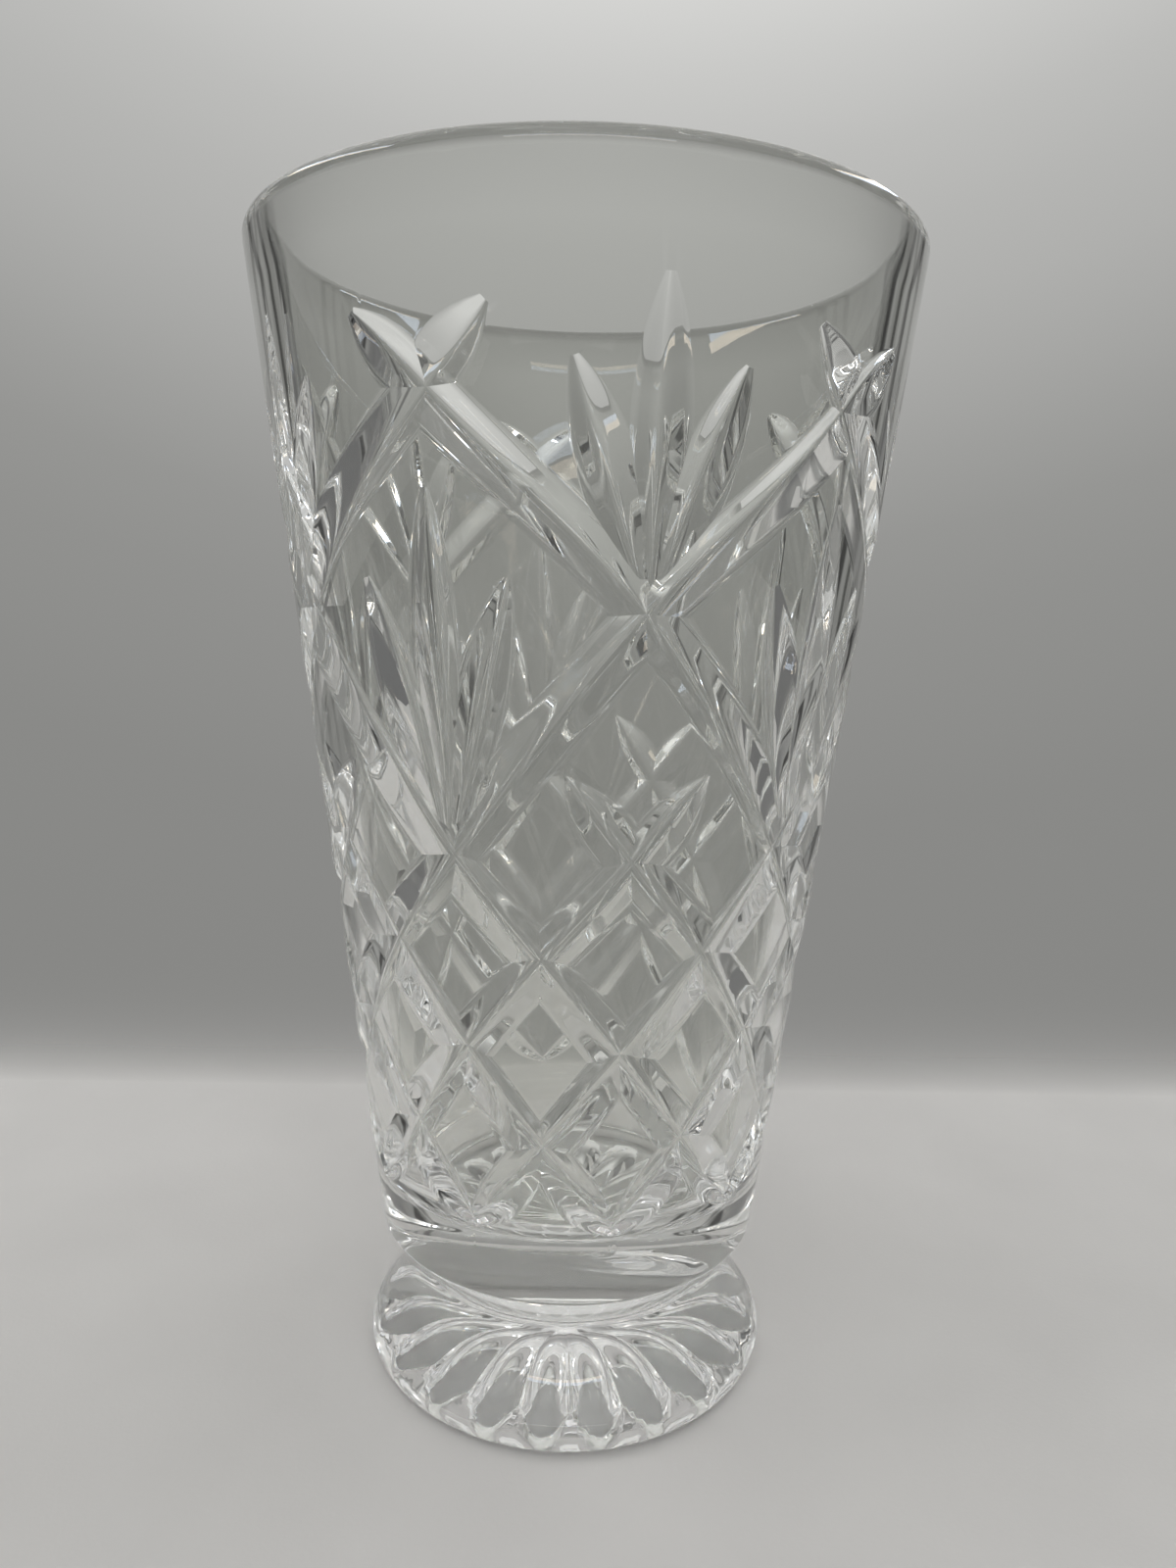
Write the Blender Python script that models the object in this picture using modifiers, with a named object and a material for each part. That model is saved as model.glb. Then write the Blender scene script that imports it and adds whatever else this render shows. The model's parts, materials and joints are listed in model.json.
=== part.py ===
"""Footed cut crystal vase: a mitre-cut bowl joined by a wafer of glass to a star-cut foot.

Run it with  blender --background --python part.py  or from Blender's text editor.
Lengths are metres and +Z is up. The origin is the centre of the ring that the foot stands on, and the
Z axis is the axis of the vase. Azimuths are measured from the front of the vase, -Y, towards +X.
"""

import math

import bmesh
import bpy
from mathutils import Vector

MM = 0.001

# Bowl
VASE_HEIGHT = 203.0 * MM
RIM_DIAMETER = 116.0 * MM
RIM_WALL = 5.2 * MM
BOWL_BASE_DIAMETER = 72.2 * MM
BOWL_BASE_WALL = 6.2 * MM
BOWL_BASE_RISE = 7.6 * MM
BOWL_BASE_BULGE = 0.6 * MM
BOWL_EDGE_FILLET = 1.6 * MM
FLOOR_THICKNESS = 15.8 * MM
FLOOR_FILLET = 9.0 * MM

# Waist, where the wafer joins the bowl to the foot
WAIST_DIAMETER = 56.8 * MM
WAFER_THICKNESS = 2.0 * MM
WAFER_EDGE_ROUNDING = 0.35 * MM
SEAT_GAP = 0.3 * MM

# Foot
FOOT_HEIGHT = 17.1 * MM
FOOT_DIAMETER = 77.0 * MM
FOOT_EDGE_THICKNESS = 7.1 * MM
FOOT_EDGE_SWEEP = math.radians(50.0)
FOOT_FLARE_HOLLOW = 0.8 * MM
REST_RING_WIDTH = 2.2 * MM
UNDERSIDE_RECESS = 0.6 * MM

# Mitre cutting on the bowl. Heights are shares of the cut band, from its lowest crossing to its highest tip.
PATTERN_REPEATS = 5
PLAIN_BAND = 13.6 * MM
PLAIN_RIM = 18.0 * MM
CUT_DEPTH = 2.6 * MM
CUT_HALF_ANGLE = math.radians(53.0)
CUT_RUN_OUT = 12.0 * MM
LATTICE_ROW = 0.109
LATTICE_TOP = 4 * LATTICE_ROW
GREAT_CROSSING = 0.699
UPPER_CROSSING = 0.923
GROOVE_TIP = 0.975
SHORT_GROOVE_TIP = 0.533
GROOVE_TAIL = 0.012
UPPER_FAN_SIDE_TIP = 0.935
LOWER_FAN_TIP = 0.831
LOWER_FAN_SIDE_TIP = 0.744
GROOVE_TIP_TURN = math.radians(8.8)
SHORT_TIP_TURN = math.radians(13.4)
FAN_SIDE_TURN = math.radians(13.4)

# Star cutting under the foot
FLUTE_COUNT = 20
FLUTE_HALF_ANGLE = math.radians(50.0)
FLUTE_DEPTH = 6.0 * MM
FLUTE_START = 1.0 * MM
FLUTE_EDGE_MARGIN = 2.5 * MM

# Fineness of the facets
TURN_STEPS = 60
PATH_STEP = math.radians(6.0)
LEAF_STEPS = 8
FLUTE_STEPS = 8
CUTTER_LIFT = 0.8 * MM
MERGE_DISTANCE = 0.00001

# Heights that follow from the sizes above
WAFER_BASE = FOOT_HEIGHT + SEAT_GAP
BOWL_BASE = WAFER_BASE + WAFER_THICKNESS + SEAT_GAP
BOWL_EDGE = BOWL_BASE + BOWL_BASE_RISE
BOWL_FLOOR = BOWL_BASE + FLOOR_THICKNESS
CUT_BOTTOM = BOWL_EDGE + PLAIN_BAND
CUT_TOP = VASE_HEIGHT - PLAIN_RIM


# Profiles, as points (radius, height)


def arc(centre, radius, start, end, count):
    """Points on a circle round centre from angle start to angle end, both included."""
    turns = [start + (end - start) * i / count for i in range(count + 1)]
    return [(centre[0] + radius * math.cos(a), centre[1] + radius * math.sin(a)) for a in turns]


def bulged(start, end, bulge, count):
    """Points of the shallow arc from start to end that stands bulge off its chord, to the chord's left."""
    chord = math.hypot(end[0] - start[0], end[1] - start[1])
    left = ((start[1] - end[1]) / chord, (end[0] - start[0]) / chord)
    points = []
    for i in range(count + 1):
        share = i / count
        height = 4.0 * bulge * share * (1.0 - share)
        points.append(
            (
                start[0] + (end[0] - start[0]) * share + left[0] * height,
                start[1] + (end[1] - start[1]) * share + left[1] * height,
            )
        )
    return points


def filleted(before, corner, after, radius, count):
    """Points of the arc that rounds the corner between two straight runs."""
    back = Vector(before) - Vector(corner)
    on = Vector(after) - Vector(corner)
    back.normalize()
    on.normalize()
    half = back.angle(on) / 2.0
    centre = Vector(corner) + (back + on).normalized() * (radius / math.sin(half))
    first = Vector(corner) + back * (radius / math.tan(half))
    last = Vector(corner) + on * (radius / math.tan(half))
    start = math.atan2(first.y - centre.y, first.x - centre.x)
    end = math.atan2(last.y - centre.y, last.x - centre.x)
    if end - start > math.pi:
        end -= 2.0 * math.pi
    if start - end > math.pi:
        end += 2.0 * math.pi
    return arc(centre, radius, start, end, count)


def wall_radius(height):
    """Outer radius of the bowl's straight, flaring wall."""
    share = (height - BOWL_EDGE) / (VASE_HEIGHT - BOWL_EDGE)
    return (BOWL_BASE_DIAMETER + share * (RIM_DIAMETER - BOWL_BASE_DIAMETER)) / 2.0


def bowl_profile():
    """From the centre of the inner floor, up inside, over the lip, down outside to the centre of the base."""
    floor = (wall_radius(BOWL_FLOOR) - BOWL_BASE_WALL, BOWL_FLOOR)
    lip_inner = (RIM_DIAMETER / 2.0 - RIM_WALL, VASE_HEIGHT)
    lip_outer = (RIM_DIAMETER / 2.0, VASE_HEIGHT)
    edge = (BOWL_BASE_DIAMETER / 2.0, BOWL_EDGE)
    base = (WAIST_DIAMETER / 2.0, BOWL_BASE)
    lip_radius = RIM_WALL / 2.2
    profile = [(0.0, BOWL_FLOOR)]
    profile += filleted((0.0, BOWL_FLOOR), floor, lip_inner, FLOOR_FILLET, 6)
    profile += filleted(floor, lip_inner, lip_outer, lip_radius, 4)
    profile += filleted(lip_inner, lip_outer, edge, lip_radius, 4)
    rounding = filleted(lip_outer, edge, base, BOWL_EDGE_FILLET, 3)
    profile += rounding[:-1]
    profile += bulged(rounding[-1], base, BOWL_BASE_BULGE, 4)
    profile += [(0.0, BOWL_BASE)]
    return profile


def wafer_profile():
    """A thin disc whose rim is slightly rounded."""
    radius = WAIST_DIAMETER / 2.0
    top = WAFER_BASE + WAFER_THICKNESS
    profile = [(0.0, top)]
    profile += filleted((0.0, top), (radius, top), (radius, WAFER_BASE), WAFER_EDGE_ROUNDING, 2)
    profile += filleted((radius, top), (radius, WAFER_BASE), (0.0, WAFER_BASE), WAFER_EDGE_ROUNDING, 2)
    profile += [(0.0, WAFER_BASE)]
    return profile


def foot_profile():
    """A hollow flare from the waist to a round edge, then the resting ring and the raised underside."""
    waist = (WAIST_DIAMETER / 2.0, FOOT_HEIGHT)
    edge_radius = FOOT_EDGE_THICKNESS / 2.0
    edge_centre = (FOOT_DIAMETER / 2.0 - edge_radius, edge_radius)
    edge = arc(edge_centre, edge_radius, FOOT_EDGE_SWEEP, -math.pi / 2.0, 8)
    ring_inside = edge_centre[0] - REST_RING_WIDTH
    profile = [(0.0, FOOT_HEIGHT)]
    profile += bulged(waist, edge[0], -FOOT_FLARE_HOLLOW, 6)
    profile += edge[1:]
    profile += [(ring_inside, 0.0), (ring_inside - UNDERSIDE_RECESS, UNDERSIDE_RECESS), (0.0, UNDERSIDE_RECESS)]
    return profile


# Blender objects


def clear_scene():
    for item in list(bpy.data.objects):
        bpy.data.objects.remove(item, do_unlink=True)


def new_collection(name):
    collection = bpy.data.collections.new(name)
    bpy.context.scene.collection.children.link(collection)
    return collection


def crystal(name, tint):
    """Clear lead crystal, bright and smooth from acid polishing."""
    material = bpy.data.materials.new(name)
    material.use_nodes = True
    surface = material.node_tree.nodes["Principled BSDF"]
    surface.inputs["Base Color"].default_value = (*tint, 1.0)
    surface.inputs["Roughness"].default_value = 0.02
    surface.inputs["Metallic"].default_value = 0.0
    surface.inputs["IOR"].default_value = 1.545
    surface.inputs["Transmission Weight"].default_value = 1.0
    return material


def turned(name, profile, collection, material):
    """A solid of revolution: the profile runs down its outer side, and a Screw modifier turns it."""
    mesh = bpy.data.meshes.new(name)
    points = [(radius, 0.0, height) for radius, height in profile]
    mesh.from_pydata(points, [(i, i + 1) for i in range(len(points) - 1)], [])
    piece = bpy.data.objects.new(name, mesh)
    piece.data.materials.append(material)
    collection.objects.link(piece)
    screw = piece.modifiers.new("Turn", "SCREW")
    screw.axis = "Z"
    screw.angle = 2.0 * math.pi
    screw.steps = TURN_STEPS
    screw.render_steps = TURN_STEPS
    screw.use_merge_vertices = True
    screw.merge_threshold = MERGE_DISTANCE
    screw.use_smooth_shade = False
    return piece


def vee_cutter(name, track, half_angle, collection):
    """The path of a V-edged wheel, lofted through one triangle for each (point, outward normal, depth)."""
    body = bmesh.new()
    rings = []
    for i, (point, normal, depth) in enumerate(track):
        ahead = track[min(i + 1, len(track) - 1)][0]
        behind = track[max(i - 1, 0)][0]
        side = normal.cross(ahead - behind).normalized()
        reach = (depth + CUTTER_LIFT) * math.tan(half_angle)
        crest = point + normal * CUTTER_LIFT
        corners = (point - normal * depth, crest - side * reach, crest + side * reach)
        rings.append([body.verts.new(corner) for corner in corners])
    for near, far in zip(rings, rings[1:]):
        for j in range(3):
            k = (j + 1) % 3
            body.faces.new((near[j], near[k], far[k], far[j]))
    body.faces.new(rings[0])
    body.faces.new(rings[-1])
    bmesh.ops.triangulate(body, faces=body.faces)
    bmesh.ops.recalc_face_normals(body, faces=body.faces)
    mesh = bpy.data.meshes.new(name)
    body.to_mesh(mesh)
    body.free()
    cutter = bpy.data.objects.new(name, mesh)
    cutter.display_type = "WIRE"
    cutter.hide_render = True
    collection.objects.link(cutter)
    return cutter


def cut_with(piece, cutters):
    boolean = piece.modifiers.new("Cutting", "BOOLEAN")
    boolean.operation = "DIFFERENCE"
    boolean.solver = "EXACT"
    boolean.operand_type = "COLLECTION"
    boolean.collection = cutters


# Mitre cutting on the bowl


def level(share):
    """Height of a share of the cut band."""
    return CUT_BOTTOM + share * (CUT_TOP - CUT_BOTTOM)


def on_wall(azimuth, height):
    """A point of the bowl's outer wall, and the outward normal there."""
    radius = wall_radius(height)
    slope = (RIM_DIAMETER - BOWL_BASE_DIAMETER) / 2.0 / (VASE_HEIGHT - BOWL_EDGE)
    outward = Vector((math.sin(azimuth), -math.cos(azimuth), 0.0))
    normal = (outward - Vector((0.0, 0.0, slope))).normalized()
    return outward * radius + Vector((0.0, 0.0, height)), normal


def walk(stops):
    """Azimuths and heights along straight runs between the stops, no further apart than PATH_STEP."""
    path = [stops[0]]
    for (turn_a, height_a), (turn_b, height_b) in zip(stops, stops[1:]):
        count = max(1, math.ceil(abs(turn_b - turn_a) / PATH_STEP - 0.001))
        for i in range(1, count + 1):
            share = i / count
            path.append((turn_a + (turn_b - turn_a) * share, height_a + (height_b - height_a) * share))
    return path


def groove_track(stops):
    """A groove of full depth that runs out in a curve at both ends, as a round wheel leaves the glass."""
    places = [on_wall(azimuth, height) for azimuth, height in walk(stops)]
    lengths = [0.0]
    for (here, _), (there, _) in zip(places, places[1:]):
        lengths.append(lengths[-1] + (there - here).length)
    track = []
    for (point, normal), length in zip(places, lengths):
        to_end = min(length, lengths[-1] - length, CUT_RUN_OUT)
        depth = CUT_DEPTH * (1.0 - (1.0 - to_end / CUT_RUN_OUT) ** 2)
        track.append((point, normal, depth))
    return track


def leaf_track(root, tip):
    """A leaf-shaped cut: pointed at the tip, widest before its middle, narrow where it springs."""
    track = []
    for i in range(LEAF_STEPS + 1):
        share = i / LEAF_STEPS
        azimuth = tip[0] + (root[0] - tip[0]) * share
        height = tip[1] + (root[1] - tip[1]) * share
        point, normal = on_wall(azimuth, height)
        swell = share**0.9
        depth = CUT_DEPTH * (4.0 * swell * (1.0 - swell)) ** 0.85
        track.append((point, normal, depth))
    return track


def groove_stops(centre, side):
    """A long groove from its tip above an upper crossing, down across the lattice to its tail."""
    pitch = 2.0 * math.pi / PATTERN_REPEATS
    stops = [
        (centre + side * (pitch / 2.0 + GROOVE_TIP_TURN), level(GROOVE_TIP)),
        (centre + side * pitch / 2.0, level(UPPER_CROSSING)),
        (centre, level(GREAT_CROSSING)),
    ]
    for row in range(5):
        turn = centre - side * (pitch / 2.0 + row * pitch / 4.0)
        stops.append((turn, level(LATTICE_TOP - row * LATTICE_ROW)))
    return with_tail(stops)


def short_groove_stops(centre, side):
    """A short groove that starts under a great crossing and joins the lattice."""
    pitch = 2.0 * math.pi / PATTERN_REPEATS
    stops = [(centre + side * SHORT_TIP_TURN, level(SHORT_GROOVE_TIP))]
    for row in range(5):
        turn = centre - side * row * pitch / 4.0
        stops.append((turn, level(LATTICE_TOP - row * LATTICE_ROW)))
    return with_tail(stops)


def with_tail(stops):
    """The groove carried on a little past its lowest crossing."""
    (turn_a, height_a), (turn_b, height_b) = stops[-2:]
    share = GROOVE_TAIL / LATTICE_ROW
    return stops + [(turn_b + (turn_b - turn_a) * share, height_b + (height_b - height_a) * share)]


def fan(name, centre, root, tip, side_tip, collection):
    """Three leaf cuts that spring from one crossing."""
    for leaf, turn in (("middle", 0.0), ("right", FAN_SIDE_TURN), ("left", -FAN_SIDE_TURN)):
        top = (centre + turn, level(side_tip if turn else tip))
        track = leaf_track((centre, level(root)), top)
        vee_cutter(f"{name}_{leaf}", track, CUT_HALF_ANGLE, collection)


def mitre_cutters(collection):
    pitch = 2.0 * math.pi / PATTERN_REPEATS
    for repeat in range(PATTERN_REPEATS):
        centre = repeat * pitch
        for hand, side in (("right", 1), ("left", -1)):
            long_track = groove_track(groove_stops(centre, side))
            vee_cutter(f"long_groove_{hand}_{repeat}", long_track, CUT_HALF_ANGLE, collection)
            short_track = groove_track(short_groove_stops(centre, side))
            vee_cutter(f"short_groove_{hand}_{repeat}", short_track, CUT_HALF_ANGLE, collection)
        fan(f"upper_fan_{repeat}", centre, GREAT_CROSSING, 1.0, UPPER_FAN_SIDE_TIP, collection)
        lower = centre + pitch / 2.0
        fan(f"lower_fan_{repeat}", lower, LATTICE_TOP, LOWER_FAN_TIP, LOWER_FAN_SIDE_TIP, collection)


# Star cutting under the foot


def flute_cutters(collection):
    """Radial V cuts. A round wheel sinks in from the centre to the edge, so each cut is an arc, and near
    the centre the cuts run into one another."""
    end = FOOT_DIAMETER / 2.0 - FLUTE_EDGE_MARGIN
    for flute in range(FLUTE_COUNT):
        azimuth = flute * 2.0 * math.pi / FLUTE_COUNT
        outward = Vector((math.sin(azimuth), -math.cos(azimuth), 0.0))
        track = []
        for i in range(FLUTE_STEPS + 1):
            share = i / FLUTE_STEPS
            depth = FLUTE_DEPTH * 4.0 * share * (1.0 - share)
            point = outward * (FLUTE_START + (end - FLUTE_START) * share)
            track.append((point, Vector((0.0, 0.0, -1.0)), depth))
        vee_cutter(f"flute_{flute}", track, FLUTE_HALF_ANGLE, collection)


def build():
    clear_scene()
    vase = new_collection("cut_crystal_vase")
    bowl_cuts = new_collection("bowl_cutters")
    foot_cuts = new_collection("foot_cutters")
    bowl = turned("bowl", bowl_profile(), vase, crystal("cut_crystal", (0.93, 0.95, 0.95)))
    turned("joining_wafer", wafer_profile(), vase, crystal("gathered_crystal", (0.92, 0.94, 0.94)))
    foot = turned("foot", foot_profile(), vase, crystal("pressed_crystal", (0.92, 0.94, 0.95)))
    mitre_cutters(bowl_cuts)
    flute_cutters(foot_cuts)
    cut_with(bowl, bowl_cuts)
    cut_with(foot, foot_cuts)


build()
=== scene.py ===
# %% [markdown]
# # A footed vase in cut crystal
#
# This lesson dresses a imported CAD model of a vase. The CAD model has three solids: a bowl, a thin
# joining wafer and a foot. On the real object the three were fused while hot, so that light passes from
# one into the next without meeting any air. Clear glass shows every inner surface, so we make the whole
# vase again as one closed body of glass and let it stand for the three solids.
#
# The steps follow the glass shop: blow the blank, grind the cuts into it with a V-edged wheel, polish
# it, and set it on a pale table in soft light.

# %% Load the frame
import json

import bpy
import numpy as np
from mathutils import Matrix, Vector

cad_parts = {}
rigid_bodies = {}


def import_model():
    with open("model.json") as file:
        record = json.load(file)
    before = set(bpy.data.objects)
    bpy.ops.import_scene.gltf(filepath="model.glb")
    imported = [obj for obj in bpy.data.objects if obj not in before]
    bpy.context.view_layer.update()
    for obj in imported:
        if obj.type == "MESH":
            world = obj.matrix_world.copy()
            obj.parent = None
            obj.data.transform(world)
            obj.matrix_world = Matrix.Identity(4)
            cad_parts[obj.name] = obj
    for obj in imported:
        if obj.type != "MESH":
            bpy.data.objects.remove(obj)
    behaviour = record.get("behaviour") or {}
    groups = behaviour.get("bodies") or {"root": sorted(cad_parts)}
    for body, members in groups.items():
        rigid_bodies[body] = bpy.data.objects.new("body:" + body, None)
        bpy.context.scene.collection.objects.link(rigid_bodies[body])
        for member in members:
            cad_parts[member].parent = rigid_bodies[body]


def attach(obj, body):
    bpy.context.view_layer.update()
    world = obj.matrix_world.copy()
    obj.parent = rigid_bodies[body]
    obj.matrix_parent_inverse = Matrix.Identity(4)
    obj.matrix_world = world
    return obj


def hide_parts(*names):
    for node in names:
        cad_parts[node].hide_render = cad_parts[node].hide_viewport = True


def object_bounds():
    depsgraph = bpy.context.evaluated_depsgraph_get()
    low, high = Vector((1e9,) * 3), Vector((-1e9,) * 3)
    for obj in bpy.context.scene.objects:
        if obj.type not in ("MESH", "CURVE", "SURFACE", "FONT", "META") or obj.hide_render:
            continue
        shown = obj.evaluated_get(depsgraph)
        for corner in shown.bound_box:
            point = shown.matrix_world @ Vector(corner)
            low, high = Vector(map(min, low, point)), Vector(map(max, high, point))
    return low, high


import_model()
cad_low, cad_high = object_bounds()
print("CAD box from", tuple(cad_low), "to", tuple(cad_high))

# %% [markdown]
# The frame gives the real height of the vase, and every size below is written in millimetres of a vase
# that stands 203 mm high. One value, MM, turns them into metres, so the looks follow the frame.

# %% The unit of length
NOMINAL_HEIGHT = 203.0
MM = cad_high.z / NOMINAL_HEIGHT
print("one millimetre of the drawing is", round(MM * 1000.0, 4), "mm of the model")

# %% [markdown]
# ## The blank
#
# A blank is the plain vase before any cutting. It is a shape of revolution, so all that it needs is
# half of its outline. We could draw that outline as one spline, but the wall of a vase like this is a
# straight cone, its lip is a half circle and its lower edge is a tight round. So the outline is a list
# of corners, each with its own rounding radius, and the waist and foot are a smooth curve through a few
# points.

# %% Straight runs with rounded corners
# An arc turns by at most this many degrees from one point to the next, and has at least four parts.
ARC_STEP = 9.0
FEWEST_PARTS = 4


def rounded_corners(corners, step):
    """Straight runs between (radius, height) corners, each corner replaced by a circular arc that
    touches both runs. An arc of radius q at a corner of half angle h starts q / tan(h) from it."""
    corners = np.array(corners, float)
    places, radii = corners[:, :2], corners[:, 2]
    pieces = [places[:1]]
    for before, corner, after, radius in zip(places, places[1:], places[2:], radii[1:]):
        back = (before - corner) / np.linalg.norm(before - corner)
        ahead = (after - corner) / np.linalg.norm(after - corner)
        half = np.arccos(np.clip(back @ ahead, -1.0, 1.0)) / 2.0
        middle = (back + ahead) / np.linalg.norm(back + ahead)
        centre = corner + middle * radius / np.sin(half)
        start = corner + back * radius / np.tan(half) - centre
        end = corner + ahead * radius / np.tan(half) - centre
        sweep = np.pi - 2.0 * half
        count = max(FEWEST_PARTS, int(np.ceil(sweep / np.radians(ARC_STEP))))
        share = np.linspace(0.0, 1.0, count + 1)[:, None]
        arc = (np.sin((1.0 - share) * sweep) * start + np.sin(share * sweep) * end) / np.sin(sweep)
        pieces.append(centre + arc)
    pieces.append(places[-1:])
    return stepped(np.vstack(pieces), step)


def stepped(line, step):
    """The same line with more points: a run longer than step is cut into equal parts."""
    parts = [line[:1]]
    for here, there in zip(line, line[1:]):
        count = max(1, int(np.ceil(np.linalg.norm(there - here) / step)))
        share = np.linspace(0.0, 1.0, count + 1)[1:, None]
        parts.append(here + (there - here) * share)
    return np.vstack(parts)


def walked_along(line):
    """The distance walked along a line up to each of its points."""
    return np.concatenate([[0.0], np.cumsum(np.linalg.norm(np.diff(line, axis=0), axis=1))])


def smooth_through(x, knots, values):
    """A cubic Hermite curve through the knots. The slope at a knot is that of the parabola through it
    and its two neighbours, and h00, h10, h01 and h11 are the four Hermite weights."""
    knots, values = np.array(knots, float), np.array(values, float)
    slopes = np.gradient(values, knots, edge_order=2)
    left = np.clip(np.searchsorted(knots, x, side="right") - 1, 0, len(knots) - 2)
    width = knots[left + 1] - knots[left]
    t = (x - knots[left]) / width
    h00 = (1.0 + 2.0 * t) * (1.0 - t) ** 2
    h10 = t * (1.0 - t) ** 2
    h01 = t**2 * (3.0 - 2.0 * t)
    h11 = t**2 * (t - 1.0)
    ends = h00 * values[left] + h01 * values[left + 1]
    return ends + (h10 * slopes[left] + h11 * slopes[left + 1]) * width


# %% The outline of the blank
# The rim, and the wall's thickness there. Half the thickness would make the lip a full half circle, and
# a little less leaves it a narrow flat. All sizes are in millimetres.
RIM_RADIUS = 57.98
RIM_WALL = 5.2
LIP_ROUND = RIM_WALL / 2.15
# The lower edge of the bowl, where the cone ends and the glass turns in towards the waist.
EDGE_RADIUS = 36.1
EDGE_HEIGHT = 27.3
LOWER_EDGE_ROUND = 1.5
# The floor inside the bowl: its height, how thick the wall is beside it, and the rounding between them.
INNER_FLOOR = 35.5
BASE_WALL = 6.2
FLOOR_ROUND = 9.0
# The underside. HOLLOW is how far its middle stands clear of the table, and it falls to nothing at
# REST_RADIUS as a high power, so most of it is nearly flat.
REST_RADIUS = 34.6
HOLLOW = 0.6
HOLLOW_POWER = 6.0
# Points (radius, height) down the waist, the flare of the foot and its round edge to the table.
FLARE = (
    (33.1, 23.25),
    (30.8, 21.0),
    (28.9, 19.35),
    (28.35, 18.55),
    (28.75, 17.4),
    (30.65, 13.6),
    (33.5, 9.7),
    (36.0, 7.1),
    (37.8, 5.2),
    (38.45, 3.5),
    (37.75, 1.2),
    (36.6, 0.25),
    (35.2, 0.0),
)
# The longest step on the straight wall, and the numbers of points on the flare and on the underside.
STRAIGHT_STEP = 8.0
FLARE_POINTS = 64
UNDERSIDE_POINTS = 26


def wall_radius(height):
    """Outer radius of the cone at a height: a straight line from the lower edge to the rim."""
    share = (height - EDGE_HEIGHT) / (NOMINAL_HEIGHT - EDGE_HEIGHT)
    return EDGE_RADIUS + (RIM_RADIUS - EDGE_RADIUS) * share


def blank_outline():
    """The cavity from its centre, the lip, the wall, the waist, the foot and the hollowed underside, and
    the row where the underside starts. With r the radius over REST_RADIUS, the underside stands
    HOLLOW (1 - r to the power HOLLOW_POWER) above the table."""
    bowl = rounded_corners(
        [
            (0.0, INNER_FLOOR, 0.0),
            (wall_radius(INNER_FLOOR) - BASE_WALL, INNER_FLOOR, FLOOR_ROUND),
            (RIM_RADIUS - RIM_WALL, NOMINAL_HEIGHT, LIP_ROUND),
            (RIM_RADIUS, NOMINAL_HEIGHT, LIP_ROUND),
            (EDGE_RADIUS, EDGE_HEIGHT, LOWER_EDGE_ROUND),
            (*FLARE[0], 0.0),
        ],
        STRAIGHT_STEP,
    )
    knots = np.array(FLARE)
    walked = walked_along(knots)
    along = np.linspace(0.0, walked[-1], FLARE_POINTS)
    flare = np.stack([smooth_through(along, walked, knots[:, k]) for k in (0, 1)], axis=1)
    inward = np.linspace(REST_RADIUS, 0.0, UNDERSIDE_POINTS)
    hollow = HOLLOW * (1.0 - (inward / REST_RADIUS) ** HOLLOW_POWER)
    underside = np.stack([inward, hollow], axis=1)
    return np.vstack([bowl, flare[1:], underside]) * MM, len(bowl) + len(flare) - 2


outline, underside_row = blank_outline()
print("outline points:", len(outline), " widest radius in mm:", round(outline[:, 0].max() / MM, 2))

# %% [markdown]
# Blender keeps one normal per corner of each face, and glass is unforgiving about them: a normal that is
# half a degree off bends what is seen through the wall. So each surface carries its exact normals in an
# attribute named "ground", worked out from its formula, and they become the shading normals at the end.

# %% Turning a line into a body
def add_mesh(name, points, faces, normals, finish):
    """A mesh from arrays: one normal for each face corner, and one finish number for each face."""
    mesh = bpy.data.meshes.new(name)
    mesh.from_pydata(points.tolist(), [], faces)
    ground = mesh.attributes.new("ground", "FLOAT_VECTOR", "CORNER")
    ground.data.foreach_set("vector", normals.astype(np.float32).ravel())
    finishes = mesh.attributes.new("finish", "INT", "FACE")
    finishes.data.foreach_set("value", np.full(len(faces), finish, np.int32))
    piece = bpy.data.objects.new(name, mesh)
    bpy.context.scene.collection.objects.link(piece)
    return piece


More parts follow.
